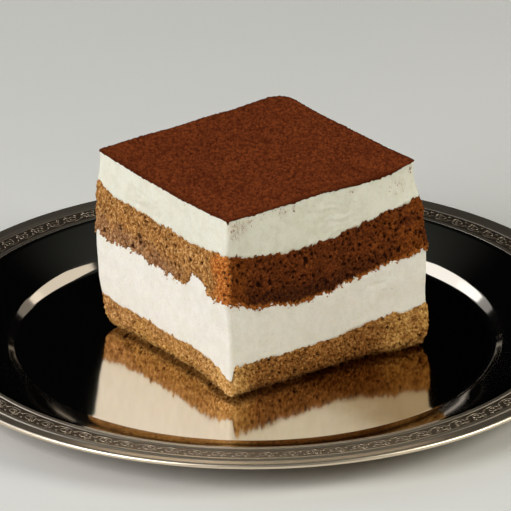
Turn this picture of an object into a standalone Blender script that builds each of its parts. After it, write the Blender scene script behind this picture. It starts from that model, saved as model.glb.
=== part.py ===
# A square portion of tiramisu on a round steel dessert plate.
# The origin is the middle of the plate's underside, +Z up. The portion's sides follow X and Y.
# Sizes below are in millimetres, and MM turns them into metres.

import math

import bmesh
import bpy
from mathutils import Vector, noise

MM = 0.001
QUARTER = math.radians(90.0)

# Plate: one turned sheet of polished steel
PLATE_RADIUS = 105.0
PLATE_SHEET = 1.0
PLATE_STEPS = 64
WELL_RADIUS = 72.3
WELL_BEND = 0.5
WALL_TOP_RADIUS = 76.0
WALL_TOP_HEIGHT = 4.6
RIM_HEIGHT = 10.1
RIM_HOLLOW = 0.15
RIM_POINTS = 4

# Plate: the flat band on its rim, between two beads, and the rolled lip
BAND_INNER_RADIUS = 94.0
BAND_OUTER_RADIUS = 99.4
BAND_OUTER_HEIGHT = 10.4
BEAD_WIDTH = 1.6
BEAD_RISE = 0.25
LIP_HEIGHT = 10.8
LIP_ROLL = 1.2

# Portion: the rectangle it was cut to, and the corner that stands nearest the eye
PORTION_X = 68.7
PORTION_Y = 68.0
NEAR_CORNER = (-30.3, -29.6)
PORTION_BASE = PLATE_SHEET + 0.3
LAYER_GAP = 0.3
CORNER_ROUNDING = {"near": 1.2, "right": 2.0, "far": 6.0, "left": 2.0}

# Walls in order round the portion, each starting at the corner of the same place in CORNERS
WALLS = ("front", "right", "back", "left")
CORNERS = ("near", "right", "far", "left")
OUTWARD = {"front": (0, -1), "right": (1, 0), "back": (0, 1), "left": (-1, 0)}

# Heights of the seams between layers along each wall, evenly spaced from its start to its end
SEAMS = {
    "sponge_bottom_top": {
        "front": (10.0, 10.0, 9.7, 9.7, 11.3, 12.6, 13.5),
        "right": (13.5, 12.4, 11.2, 11.0),
        "back": (11.0, 10.2, 11.0, 11.3),
        "left": (11.3, 9.4, 9.4, 9.0, 9.3, 9.0, 10.0),
    },
    "cream_bottom_top": {
        "front": (30.8, 27.1, 25.4, 25.0, 27.4, 29.9, 32.5),
        "right": (32.5, 30.4, 28.6, 29.4),
        "back": (29.4, 28.4, 30.0, 32.3),
        "left": (32.3, 30.4, 31.5, 29.3, 29.6, 30.3, 30.8),
    },
    "sponge_middle_top": {
        "front": (45.8, 43.3, 42.1, 42.1, 44.1, 46.6, 48.8),
        "right": (48.8, 47.8, 46.8, 47.2),
        "back": (47.2, 46.0, 46.6, 48.7),
        "left": (48.7, 45.6, 45.1, 44.4, 43.9, 44.9, 45.8),
    },
    "cream_top_top": {
        "front": (57.1, 57.2, 57.6, 57.9, 57.0, 57.3, 59.3),
        "right": (59.3, 59.2, 59.3, 60.2),
        "back": (60.2, 59.0, 58.4, 57.9),
        "left": (57.9, 57.3, 56.7, 56.5, 56.3, 56.5, 57.1),
    },
    "dusted_top": {
        "front": (58.0, 58.1, 58.5, 58.9, 58.7, 59.0, 60.3),
        "right": (60.3, 60.3, 60.5, 61.2),
        "back": (61.2, 60.1, 59.4, 58.7),
        "left": (58.7, 58.2, 57.7, 57.5, 57.4, 57.6, 58.0),
    },
}

# Seams beside sponge wander a little along the walls
ROUGH_SEAMS = ("sponge_bottom_top", "cream_bottom_top", "sponge_middle_top")
SEAM_WANDER = 0.45
SEAM_WANDER_CYCLES = 14.0

# Where a seam bends out of line: the cream that runs up between two biscuits of the middle layer,
# and the cream that sinks at the near corner. A place is counted round the walls, from 0 to 4 at
# the near corner, and the bend reaches a distance before and after it.
BENDS = {
    "cream_bottom_top": {"place": 3.753, "height": 5.1, "before": 3.3, "after": 5.5},
    "sponge_bottom_top": {"place": 4.0, "height": -4.2, "before": 6.8, "after": 1.1},
}
BEND_STEEPNESS = 2.6

# How far each wall stands out at its start, middle and end, at six levels up the portion
LEVELS = (0.0, 6.0, 18.0, 34.0, 42.0, 52.0)
STAND_OUT = {
    "front": (
        (0.0, 0.2, 0.2, -0.4, -0.4, 0.0),
        (-0.2, 0.6, 0.2, 0.2, 0.1, 0.0),
        (3.4, 4.4, 2.9, 3.0, 2.3, 0.1),
    ),
    "right": (
        (1.3, 3.0, 2.9, 3.0, 2.3, 0.1),
        (-0.4, 0.9, 0.3, 0.8, 0.6, 0.0),
        (-0.8, 0.4, 0.3, 0.6, 0.5, 0.0),
    ),
    "back": (
        (-0.8, 0.4, 0.3, 0.6, 0.5, 0.0),
        (-0.8, 0.7, 0.2, 0.9, 0.7, 0.1),
        (-1.7, 0.2, 1.3, 1.6, 1.5, 0.4),
    ),
    "left": (
        (-1.7, 0.2, 1.3, 1.6, 1.5, 0.4),
        (-2.9, -0.8, -0.1, 0.3, 0.3, 0.1),
        (-0.3, 0.0, 0.0, 0.9, 1.0, 0.3),
    ),
}
CORNER_REACH = 24.0

# Divisions round the portion, and up the side of each layer
AROUND = 112
ROWS = {"sponge_bottom": 5, "cream_bottom": 4, "sponge_middle": 7, "cream_top": 3, "cocoa_top": 1}

# Relief of the sides: crags and pores in the sponge, a slow wave in the cream
CRAG_DEPTH = 0.8
CRAG_LENGTH = 7.0
PORE_DEPTH = 1.3
PORE_SPACING = 3.4
PORE_SHARE = 0.5
CREAM_WAVE = 0.35
CREAM_WAVE_LENGTH = 13.0

# Rings drawn in from the rim of each layer's ends, as shares of the way to the middle
SEAM_RING = 0.22
TOP_RINGS = (0.03, 0.15, 0.3)
TOP_EDGE_DROP = 0.5
TOP_WAVE = 0.4
TOP_WAVE_LENGTH = 12.0


def clear_scene():
    for thing in list(bpy.data.objects):
        bpy.data.objects.remove(thing, do_unlink=True)


def make_material(name, colour, roughness, metallic=0.0):
    material = bpy.data.materials.new(name)
    material.use_nodes = True
    shader = material.node_tree.nodes["Principled BSDF"]
    shader.inputs["Base Color"].default_value = (*colour, 1.0)
    shader.inputs["Roughness"].default_value = roughness
    shader.inputs["Metallic"].default_value = metallic
    return material


def smooth(share):
    share = min(1.0, max(0.0, share))
    return share * share * (3.0 - 2.0 * share)


def blend(start, end, share):
    return start + (end - start) * share


def along(values, share):
    """Reads evenly spaced values at a share of the way, eased between neighbours."""
    place = min(1.0, max(0.0, share)) * (len(values) - 1)
    index = min(int(place), len(values) - 2)
    return blend(values[index], values[index + 1], smooth(place - index))


def at_level(values, height):
    """Reads values given at LEVELS at any height up the portion."""
    for index in range(len(LEVELS) - 1):
        if height <= LEVELS[index + 1]:
            share = (height - LEVELS[index]) / (LEVELS[index + 1] - LEVELS[index])
            return blend(values[index], values[index + 1], smooth(share))
    return values[-1]


def stand_out(wall, share, height):
    """How far a wall stands out of the cut rectangle, its ends easing into its middle."""
    start, middle, end = (at_level(values, height) for values in STAND_OUT[wall])
    length = PORTION_X if wall in ("front", "back") else PORTION_Y
    near_start = 1.0 - smooth(share * length / CORNER_REACH)
    near_end = 1.0 - smooth((1.0 - share) * length / CORNER_REACH)
    return middle + (start - middle) * near_start + (end - middle) * near_end


def corner_point(index):
    """Plan position of the corner where wall number index starts."""
    east = NEAR_CORNER[0] + (PORTION_X if index in (1, 2) else 0.0)
    north = NEAR_CORNER[1] + (PORTION_Y if index in (2, 3) else 0.0)
    return Vector((east, north))


def rounded_plan(index, share):
    """Point on the cut rectangle, with its corners rounded."""
    after = (index + 1) % 4
    out = Vector(OUTWARD[WALLS[index]])
    start = corner_point(index)
    end = corner_point(after)
    length = (end - start).length
    nearby = (
        (share * length, index, start, WALLS[index - 1]),
        ((1.0 - share) * length, after, end, WALLS[after]),
    )
    for distance, corner, place, neighbour in nearby:
        radius = CORNER_ROUNDING[CORNERS[corner]]
        if distance < radius:
            side = Vector(OUTWARD[neighbour])
            angle = QUARTER / 2 * (1.0 - distance / radius)
            return place - (out + side) * radius + (out * math.cos(angle) + side * math.sin(angle)) * radius
    return start.lerp(end, share)


def wall_point(turn, height):
    """Plan position of the portion's side, turn running 0 to 4 round the four walls."""
    index = int(turn) % 4
    share = turn - int(turn)
    wall = WALLS[index]
    before = WALLS[index - 1]
    after = WALLS[(index + 1) % 4]
    point = rounded_plan(index, share)
    point += Vector(OUTWARD[wall]) * stand_out(wall, share, height)
    point += Vector(OUTWARD[before]) * stand_out(before, 1.0, height) * (1.0 - share)
    point += Vector(OUTWARD[after]) * stand_out(after, 0.0, height) * share
    return point


def seam_height(seam, turn):
    """Height of a seam where it shows on the walls, above the portion's base."""
    index = int(turn) % 4
    share = turn - int(turn)
    wall = WALLS[index]
    height = along(SEAMS[seam][wall], share)
    if seam in ROUGH_SEAMS:
        angle = turn * QUARTER
        spot = Vector((math.cos(angle), math.sin(angle), 0.0)) * SEAM_WANDER_CYCLES
        spot.z = 10.0 * ROUGH_SEAMS.index(seam)
        height += SEAM_WANDER * noise.noise(spot)
    if seam in BENDS:
        bend = BENDS[seam]
        offset = ((turn - bend["place"] + 2.0) % 4.0 - 2.0) * PORTION_Y
        reach = bend["before"] if offset < 0.0 else bend["after"]
        height += bend["height"] * math.exp(-(abs(offset / reach) ** BEND_STEEPNESS))
    return height


def seam_inside(seam, plan):
    """Height of a seam inside the portion, drawn between the heights of its corners."""
    near, right, far, left = (SEAMS[seam][wall][0] for wall in WALLS)
    east = (plan.x - NEAR_CORNER[0]) / PORTION_X
    north = (plan.y - NEAR_CORNER[1]) / PORTION_Y
    return blend(blend(near, right, east), blend(left, far, east), north)


def seam_clearance(seam):
    """Half the gap that two layers keep at a seam, none at the dusted top."""
    return 0.0 if seam == "dusted_top" else LAYER_GAP / 2


def sponge_relief(spot):
    crags = CRAG_DEPTH * noise.noise(spot / CRAG_LENGTH)
    nearest_pore = noise.voronoi(spot / PORE_SPACING)[0][0]
    return crags - PORE_DEPTH * max(0.0, 1.0 - nearest_pore / PORE_SHARE)


def cream_relief(spot):
    return CREAM_WAVE * noise.noise(spot / CREAM_WAVE_LENGTH)


def side_point(turn, up, low, high, relief, centre):
    """A point on a layer's side, pushed in or out by the relief of its food."""
    height = blend(low, high, up)
    plan = wall_point(turn, height)
    if 0.0 < up < 1.0:
        push = relief(Vector((plan.x, plan.y, height)))
        plan += (plan - centre).normalized() * push
    return Vector((plan.x, plan.y, height))


def end_point(turn, outness, seam, side, centre):
    """A point on a layer's end, outness being 0 in the middle and 1 at the rim."""
    if not seam:
        plan = centre.lerp(wall_point(turn, 0.0), outness)
        return Vector((plan.x, plan.y, 0.0))
    clearance = side * seam_clearance(seam)
    rim_height = seam_height(seam, turn) + clearance
    plan = centre.lerp(wall_point(turn, rim_height), outness)
    inward = smooth((1.0 - outness) / SEAM_RING)
    height = blend(rim_height, seam_inside(seam, plan) + clearance, inward)
    if seam == "dusted_top":
        height += TOP_WAVE * noise.noise(Vector((plan.x, plan.y, 0.0)) / TOP_WAVE_LENGTH)
    return Vector((plan.x, plan.y, height))


def layer_blank(rows, over_rings):
    """A round drum of unit size, with rows up its side and rings on its two ends."""
    bm = bmesh.new()
    bmesh.ops.create_cone(bm, cap_ends=True, segments=AROUND, radius1=1.0, radius2=1.0, depth=1.0)
    upright = [edge for edge in bm.edges if abs(edge.verts[0].co.z - edge.verts[1].co.z) > 0.5]
    bmesh.ops.subdivide_edges(bm, edges=upright, cuts=rows - 1)
    ends = [face for face in bm.faces if len(face.verts) == AROUND]
    for end in ends:
        is_over = end.calc_center_median().z > 0.0
        for ring in over_rings if is_over else (SEAM_RING,):
            bmesh.ops.inset_individual(bm, faces=[end], thickness=ring)
    bmesh.ops.poke(bm, faces=ends)
    return bm


def make_layer(name, seam_below, seam_above, relief, material, collection):
    """One layer: the drum drawn out to the portion's walls between two seams."""
    is_top = seam_above == "dusted_top"
    bm = layer_blank(ROWS[name], TOP_RINGS if is_top else (SEAM_RING,))
    centre = Vector(NEAR_CORNER) + Vector((PORTION_X, PORTION_Y)) / 2
    for vertex in bm.verts:
        outness = math.hypot(vertex.co.x, vertex.co.y)
        turn = (math.atan2(vertex.co.y, vertex.co.x) / QUARTER) % 4.0
        up = round(vertex.co.z + 0.5, 4)
        if outness > 0.999:
            low = seam_height(seam_below, turn) + seam_clearance(seam_below) if seam_below else 0.0
            high = seam_height(seam_above, turn) - seam_clearance(seam_above)
            high -= TOP_EDGE_DROP if is_top else 0.0
            point = side_point(turn, up, low, high, relief, centre)
        elif up > 0.5:
            point = end_point(turn, outness, seam_above, -1, centre)
        else:
            point = end_point(turn, outness, seam_below, 1, centre)
        point.z += PORTION_BASE
        vertex.co = point * MM
    bmesh.ops.triangulate(bm, faces=bm.faces[:])
    mesh = bpy.data.meshes.new(name)
    bm.to_mesh(mesh)
    bm.free()
    mesh.materials.append(material)
    mesh.shade_smooth()
    mesh.set_sharp_from_angle(angle=math.radians(50.0))
    layer = bpy.data.objects.new(name, mesh)
    collection.objects.link(layer)
    return layer


def well_section():
    """The plate's upper side from the middle of its well up the start of the well's straight wall."""
    slope = math.atan2(WALL_TOP_HEIGHT - PLATE_SHEET, WALL_TOP_RADIUS - WELL_RADIUS)
    run = WELL_BEND * math.cos(slope)
    rise = WELL_BEND * math.sin(slope)
    return [
        (0.0, PLATE_SHEET),
        (WELL_RADIUS - WELL_BEND, PLATE_SHEET),
        (WELL_RADIUS + run, PLATE_SHEET + rise),
    ]


def rim_section():
    """The upper side of the sloping rim, hollow in section, from the wall's top to the inner bead."""
    edge = BAND_INNER_RADIUS - BEAD_WIDTH * 1.25
    section = []
    for step in range(RIM_POINTS):
        share = step / (RIM_POINTS - 1)
        eased = share * (1.0 + RIM_HOLLOW) - share * share * RIM_HOLLOW
        section.append((blend(WALL_TOP_RADIUS, edge, share), blend(WALL_TOP_HEIGHT, RIM_HEIGHT, eased)))
    return section


def band_section():
    """The two beads with the flat band between them."""
    quarter_bead = BEAD_WIDTH / 4
    section = []
    beads = (
        (BAND_INNER_RADIUS - BEAD_WIDTH / 2, RIM_HEIGHT),
        (BAND_OUTER_RADIUS + BEAD_WIDTH / 2, BAND_OUTER_HEIGHT),
    )
    for radius, height in beads:
        if section:
            section.append((BAND_OUTER_RADIUS, BAND_OUTER_HEIGHT))
        section.append((radius - quarter_bead, height + BEAD_RISE))
        section.append((radius + quarter_bead, height + BEAD_RISE))
        section.append((radius + BEAD_WIDTH / 2, height))
    return section


def lip_section():
    """The rolled lip, from its crest down its outer side to its lower edge."""
    return [
        (PLATE_RADIUS - LIP_ROLL * 0.6, LIP_HEIGHT),
        (PLATE_RADIUS - LIP_ROLL * 0.12, LIP_HEIGHT - LIP_ROLL * 0.3),
        (PLATE_RADIUS, LIP_HEIGHT - LIP_ROLL * 0.6),
        (PLATE_RADIUS - LIP_ROLL * 0.4, LIP_HEIGHT - LIP_ROLL),
    ]


def underside_section():
    """The underside, a sheet's thickness below, back to the middle of the flat foot."""
    return [
        (BAND_OUTER_RADIUS, BAND_OUTER_HEIGHT - PLATE_SHEET),
        (BAND_INNER_RADIUS - BEAD_WIDTH, RIM_HEIGHT - PLATE_SHEET),
        (WALL_TOP_RADIUS + PLATE_SHEET * 0.9, WALL_TOP_HEIGHT - PLATE_SHEET * 0.7),
        (WELL_RADIUS + PLATE_SHEET * 0.9, PLATE_SHEET * 0.48),
        (WELL_RADIUS + PLATE_SHEET * 0.2, 0.0),
        (0.0, 0.0),
    ]


def make_plate(material, collection):
    """The plate's section turned about its upright axis."""
    section = well_section() + rim_section() + band_section() + lip_section() + underside_section()
    points = [(radius * MM, 0.0, height * MM) for radius, height in section]
    mesh = bpy.data.meshes.new("plate")
    mesh.from_pydata(points, [(index, index + 1) for index in range(len(points) - 1)], [])
    mesh.materials.append(material)
    plate = bpy.data.objects.new("plate", mesh)
    collection.objects.link(plate)
    turn = plate.modifiers.new("turn", "SCREW")
    turn.axis = "Z"
    turn.steps = PLATE_STEPS
    turn.render_steps = PLATE_STEPS
    turn.use_merge_vertices = True
    turn.merge_threshold = 0.00005
    turn.use_smooth_shade = True
    return plate


def main():
    clear_scene()
    collection = bpy.data.collections.new("tiramisu_portion")
    bpy.context.scene.collection.children.link(collection)
    steel = make_material("polished_steel", (0.62, 0.58, 0.54), 0.08, 1.0)
    soaked = make_material("coffee_soaked_sponge", (0.20, 0.08, 0.025), 0.8)
    golden = make_material("golden_sponge", (0.36, 0.20, 0.08), 0.85)
    cream = make_material("mascarpone_cream", (0.82, 0.77, 0.66), 0.45)
    cocoa = make_material("cocoa_powder", (0.12, 0.026, 0.008), 0.95)

    make_plate(steel, collection)
    make_layer("sponge_bottom", None, "sponge_bottom_top", sponge_relief, golden, collection)
    make_layer("cream_bottom", "sponge_bottom_top", "cream_bottom_top", cream_relief, cream, collection)
    make_layer("sponge_middle", "cream_bottom_top", "sponge_middle_top", sponge_relief, soaked, collection)
    make_layer("cream_top", "sponge_middle_top", "cream_top_top", cream_relief, cream, collection)
    make_layer("cocoa_top", "cream_top_top", "dusted_top", cream_relief, cocoa, collection)


main()
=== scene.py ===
import math
import random

import bmesh
import bpy
import numpy as np
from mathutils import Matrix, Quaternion, Vector, noise


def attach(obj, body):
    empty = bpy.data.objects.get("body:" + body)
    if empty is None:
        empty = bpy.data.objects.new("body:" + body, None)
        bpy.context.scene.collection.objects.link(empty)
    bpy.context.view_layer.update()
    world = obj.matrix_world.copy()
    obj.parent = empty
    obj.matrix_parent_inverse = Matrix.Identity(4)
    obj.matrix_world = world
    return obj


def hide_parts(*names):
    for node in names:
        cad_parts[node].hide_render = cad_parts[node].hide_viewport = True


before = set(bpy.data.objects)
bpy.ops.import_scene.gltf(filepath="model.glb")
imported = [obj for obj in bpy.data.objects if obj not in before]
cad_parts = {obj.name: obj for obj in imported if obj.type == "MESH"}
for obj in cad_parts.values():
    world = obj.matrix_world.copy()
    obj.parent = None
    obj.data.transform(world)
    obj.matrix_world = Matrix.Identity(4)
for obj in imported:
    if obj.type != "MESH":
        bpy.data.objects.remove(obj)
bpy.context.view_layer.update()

mm = 0.001  # all sizes below are in millimetres

# The portion's form, with the same sizes as its solids.
# Walls run round from the corner nearest the camera: front, right, back, left.
form = {
    "size": (68.7, 68.0),
    "nearCorner": (-30.3, -29.6),
    "base": 1.3,
    "rounding": (1.2, 1.4, 6.0, 1.6),  # near, right, far and left corner
    "levels": (0.0, 6.0, 18.0, 34.0, 42.0, 56.0),
    "cornerReach": 24.0,
    "standOut": {  # at the start, middle and end of each wall, at the levels above
        "front": (
            (0.0, 0.2, 0.2, -0.4, -0.4, 0.0),
            (-0.2, 0.6, 0.2, 0.2, 0.1, 0.0),
            (3.4, 4.4, 2.9, 3.0, 2.3, 0.1),
        ),
        "right": (
            (1.3, 3.0, 2.9, 3.0, 2.3, 0.1),
            (-0.4, 0.9, 0.3, 0.8, 0.6, 0.0),
            (-0.8, 0.4, 0.3, 0.6, 0.5, 0.0),
        ),
        "back": (
            (-0.8, 0.4, 0.3, 0.6, 0.5, 0.0),
            (-0.8, 0.7, 0.2, 0.9, 0.7, 0.1),
            (-1.7, 0.2, 1.3, 1.6, 1.5, 0.4),
        ),
        "left": (
            (-1.7, 0.2, 1.3, 1.6, 1.5, 0.4),
            (-2.9, -0.8, -0.1, 0.3, 0.3, 0.1),
            (-0.3, 0.0, 0.0, 0.9, 1.0, 0.3),
        ),
    },
    "seams": {  # heights evenly spaced along each wall
        "spongeBottomTop": {
            "front": (10.0, 10.0, 9.7, 9.7, 11.3, 12.6, 13.5),
            "right": (13.5, 12.4, 11.2, 11.0),
            "back": (11.0, 10.2, 11.0, 11.3),
            "left": (11.3, 9.4, 9.4, 9.0, 9.3, 9.0, 10.0),
        },
        "creamBottomTop": {
            "front": (30.8, 27.1, 25.4, 25.0, 27.4, 29.9, 32.5),
            "right": (32.5, 30.4, 28.6, 29.4),
            "back": (29.4, 28.4, 30.0, 32.3),
            "left": (32.3, 30.4, 31.5, 29.3, 29.6, 30.3, 30.8),
        },
        "spongeMiddleTop": {
            "front": (45.8, 43.3, 42.1, 42.1, 44.1, 46.6, 48.8),
            "right": (48.8, 47.8, 46.8, 47.2),
            "back": (47.2, 46.0, 46.6, 48.7),
            "left": (48.7, 45.6, 45.1, 44.4, 43.9, 44.9, 45.8),
        },
        "creamTopTop": {
            "front": (57.1, 57.2, 57.6, 57.9, 57.2, 57.5, 59.8),
            "right": (59.8, 59.2, 59.3, 60.2),
            "back": (60.2, 59.0, 58.4, 57.9),
            "left": (57.9, 57.3, 56.7, 56.5, 56.3, 56.5, 57.1),
        },
        "dustedTop": {
            "front": (58.0, 58.1, 58.5, 58.9, 58.7, 59.0, 60.3),
            "right": (60.3, 60.3, 60.5, 61.2),
            "back": (61.2, 60.1, 59.4, 58.7),
            "left": (58.7, 58.2, 57.7, 57.5, 57.4, 57.6, 58.0),
        },
    },
    "roughSeams": ("spongeBottomTop", "creamBottomTop", "spongeMiddleTop"),
    "seamWander": 0.45,
    "seamWanderCycles": 14.0,
    # cream runs up between two biscuits on the left wall, and sinks to a point at the near corner
    "bends": {
        "creamBottomTop": {"place": 3.753, "height": 5.1, "before": 3.3, "after": 5.5},
        "spongeBottomTop": {"place": 4.0, "height": -4.2, "before": 6.8, "after": 1.1},
    },
    "bendSteepness": 2.6,
}
walls = ("front", "right", "back", "left")
outward = np.array(((0.0, -1.0), (1.0, 0.0), (0.0, 1.0), (-1.0, 0.0)))
centre = np.array(form["nearCorner"]) + np.array(form["size"]) / 2


def smooth(share):
    share = np.clip(share, 0.0, 1.0)
    return share * share * (3.0 - 2.0 * share)


def eased(values, place):
    values = np.asarray(values, float)
    place = np.clip(place, 0.0, len(values) - 1.0)
    index = np.minimum(np.asarray(place).astype(int), len(values) - 2)
    return values[index] + (values[index + 1] - values[index]) * smooth(place - index)


def standOut(wall, share, height):
    place = np.interp(height, form["levels"], range(len(form["levels"])))
    start, middle, end = (eased(row, place) for row in form["standOut"][wall])
    length = form["size"][0] if wall in ("front", "back") else form["size"][1]
    nearStart = 1.0 - smooth(share * length / form["cornerReach"])
    nearEnd = 1.0 - smooth((1.0 - share) * length / form["cornerReach"])
    return middle + (start - middle) * nearStart + (end - middle) * nearEnd


def cornerPlace(index):
    east = form["nearCorner"][0] + (form["size"][0] if index in (1, 2) else 0.0)
    north = form["nearCorner"][1] + (form["size"][1] if index in (2, 3) else 0.0)
    return np.array((east, north))


def wallPlan(turn, height):
    # plan places on the portion's sides; turn runs from 0 to 4 round the walls
    turn, height = np.broadcast_arrays(np.asarray(turn, float), np.asarray(height, float))
    plan = np.zeros(turn.shape + (2,))
    onWall = np.floor(turn).astype(int) % 4
    for index, wall in enumerate(walls):
        here = onWall == index
        if not here.any():
            continue
        share = (turn[here] - np.floor(turn[here]))[:, None]
        level = height[here][:, None]
        after = (index + 1) % 4
        start, end = cornerPlace(index), cornerPlace(after)
        length = np.linalg.norm(end - start)
        out = outward[index]
        place = start + (end - start) * share
        for distance, corner, tip, neighbour in (
            (share * length, index, start, index - 1),
            ((1.0 - share) * length, after, end, after),
        ):
            radius = form["rounding"][corner]
            angle = math.pi / 4 * (1.0 - distance / radius)
            side = outward[neighbour]
            turned = tip - (out + side) * radius + (out * np.cos(angle) + side * np.sin(angle)) * radius
            place = np.where(distance < radius, turned, place)
        place = place + out * standOut(wall, share, level)
        place = place + outward[index - 1] * standOut(walls[index - 1], 1.0, level) * (1.0 - share)
        place = place + outward[after] * standOut(walls[after], 0.0, level) * share
        plan[here] = place
    return plan


def seamHeight(seam, turn):
    turn = np.asarray(turn, float)
    height = np.zeros(turn.shape)
    onWall = np.floor(turn).astype(int) % 4
    share = turn - np.floor(turn)
    for index, wall in enumerate(walls):
        here = onWall == index
        values = form["seams"][seam][wall]
        height[here] = eased(values, share[here] * (len(values) - 1))
    if seam in form["roughSeams"]:
        cycles, level = form["seamWanderCycles"], 10.0 * form["roughSeams"].index(seam)
        angles = turn * math.pi / 2
        spots = np.stack((np.cos(angles) * cycles, np.sin(angles) * cycles, angles * 0 + level), -1)
        height += form["seamWander"] * np.array([noise.noise(spot) for spot in spots])
    if seam in form["bends"]:
        bend = form["bends"][seam]
        offset = ((turn - bend["place"] + 2.0) % 4.0 - 2.0) * form["size"][1]
        reach = np.where(offset < 0.0, bend["before"], bend["after"])
        height += bend["height"] * np.exp(-(np.abs(offset / reach) ** form["bendSteepness"]))
    return height


def seamInside(seam, plan):
    near, right, far, left = (form["seams"][seam][wall][0] for wall in walls)
    east = (plan[..., 0] - form["nearCorner"][0]) / form["size"][0]
    north = (plan[..., 1] - form["nearCorner"][1]) / form["size"][1]
    front = near + (right - near) * east
    return front + (left + (far - left) * east - front) * north


def ringNormals(plan):
    # outward directions of closed rings of plan places, one ring a row
    run = np.roll(plan, -1, axis=-2) - np.roll(plan, 1, axis=-2)
    out = np.stack((run[..., 1], -run[..., 0]), -1)
    return out / np.linalg.norm(out, axis=-1, keepdims=True)


def makePiece(name, vertices, faces, material, traits=None, body="root"):
    mesh = bpy.data.meshes.new(name)
    mesh.from_pydata((np.asarray(vertices) * mm).tolist(), [], faces)
    mesh.materials.append(material)
    mesh.shade_smooth()
    for trait, values in (traits or {}).items():
        layer = mesh.attributes.new(trait, "FLOAT", "POINT")
        layer.data.foreach_set("value", np.asarray(values, np.float32))
    mesh.validate()
    piece = bpy.data.objects.new(name, mesh)
    bpy.context.scene.collection.objects.link(piece)
    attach(piece, body)
    return piece


def srgb(red, green, blue):
    def linear(value):
        value /= 255.0
        return value / 12.92 if value <= 0.04045 else ((value + 0.055) / 1.055) ** 2.4
    return (linear(red), linear(green), linear(blue), 1.0)


class Strand:
    # one node output; plain arithmetic on it adds Math nodes
    def __init__(self, finish, socket):
        self.finish = finish
        self.socket = socket

    def __add__(self, other):
        return self.finish.maths("ADD", self, other)

    def __radd__(self, other):
        return self.finish.maths("ADD", other, self)

    def __sub__(self, other):
        return self.finish.maths("SUBTRACT", self, other)

    def __rsub__(self, other):
        return self.finish.maths("SUBTRACT", other, self)

    def __mul__(self, other):
        return self.finish.maths("MULTIPLY", self, other)

    def __rmul__(self, other):
        return self.finish.maths("MULTIPLY", other, self)

    def __truediv__(self, other):
        return self.finish.maths("DIVIDE", self, other)


class Finish:
    # a material with its Principled shader; fixed values go straight to the shader
    def __init__(self, name, **fixed):
        self.material = bpy.data.materials.new(name)
        self.material.use_nodes = True
        self.tree = self.material.node_tree
        self.shader = self.tree.nodes["Principled BSDF"]
        for socket, value in fixed.items():
            self.shader.inputs[socket.replace("_", " ")].default_value = value

    def node(self, kind, settings, sockets, output=0):
        made = self.tree.nodes.new(kind)
        for setting, value in settings.items():
            setattr(made, setting, value)
        for socket, value in sockets.items():
            if isinstance(value, Strand):
                self.tree.links.new(value.socket, made.inputs[socket])
            else:
                made.inputs[socket].default_value = value
        return Strand(self, made.outputs[output])

    def maths(self, operation, first, second):
        return self.node("ShaderNodeMath", {"operation": operation}, {0: first, 1: second})

    def place(self, *scale):
        # place on the object in millimetres, stretched by scale
        coordinates = self.node("ShaderNodeTexCoord", {}, {}, "Object")
        stretch = tuple(1000.0 * factor for factor in (scale or (1.0, 1.0, 1.0)))
        return self.node("ShaderNodeVectorMath", {"operation": "MULTIPLY"}, {0: coordinates, 1: stretch})

    def axis(self, name):
        return self.node("ShaderNodeSeparateXYZ", {}, {0: self.place()}, name)

    def trait(self, name):
        return self.node("ShaderNodeAttribute", {"attribute_name": name}, {}, "Fac")

    def cloud(self, size, detail=3.0, roughness=0.55, place=None, warp=0.0):
        sockets = {
            "Vector": place or self.place(),
            "Scale": 1.0 / size,
            "Detail": detail,
            "Roughness": roughness,
            "Distortion": warp,
        }
        return self.node("ShaderNodeTexNoise", {}, sockets)

    def cells(self, size, feature="F1", place=None):
        sockets = {"Vector": place or self.place(), "Scale": 1.0 / size}
        return self.node("ShaderNodeTexVoronoi", {"feature": feature}, sockets, "Distance")

    def between(self, value, low, high, start=0.0, end=1.0):
        settings = {"interpolation_type": "SMOOTHSTEP"}
        return self.node("ShaderNodeMapRange", settings, {0: value, 1: low, 2: high, 3: start, 4: end})

    def mix(self, factor, first, second, blend="MIX"):
        settings = {"data_type": "RGBA", "blend_type": blend}
        return self.node("ShaderNodeMix", settings, {0: factor, 6: first, 7: second}, 2)

    def colour(self, value):
        self.tree.links.new(value.socket, self.shader.inputs["Base Color"])

    def roughness(self, value):
        self.tree.links.new(value.socket, self.shader.inputs["Roughness"])

    def bump(self, height, distance, strength=1.0):
        sockets = {"Height": height, "Distance": distance * mm, "Strength": strength}
        made = self.node("ShaderNodeBump", {}, sockets, "Normal")
        self.tree.links.new(made.socket, self.shader.inputs["Normal"])


print("camera and light")

# Camera: a long lens, a little rolled, from the photograph's viewpoint
view = {
    "turn": -35.39,  # degrees round from the front wall, towards the left wall
    "rise": 24.56,
    "distance": 1260.0,
    "lens": 289.54,
    "roll": 0.46,
    "aimRight": 0.275,
    "aimUp": 26.64,
}


def makeCamera():
    turn, rise = math.radians(view["turn"]), math.radians(view["rise"])
    back = Vector((math.sin(turn) * math.cos(rise), -math.cos(turn) * math.cos(rise), math.sin(rise)))
    right = Vector((math.cos(turn), math.sin(turn), 0.0))
    up = back.cross(right)
    middle = Vector((0.0, 0.0, 1.0))
    place = middle + back * view["distance"]
    aim = middle + right * view["aimRight"] + up * view["aimUp"]
    lens = bpy.data.cameras.new("camera")
    lens.lens = view["lens"]
    lens.sensor_width = 36.0
    lens.clip_start = 0.05
    lens.clip_end = 50.0
    camera = bpy.data.objects.new("camera", lens)
    bpy.context.scene.collection.objects.link(camera)
    camera.location = place * mm
    look = (aim - place).to_track_quat("-Z", "Y")
    camera.rotation_mode = "QUATERNION"
    camera.rotation_quaternion = look @ Quaternion((0.0, 0.0, 1.0), -math.radians(view["roll"]))
    bpy.context.scene.camera = camera


makeCamera()

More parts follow.
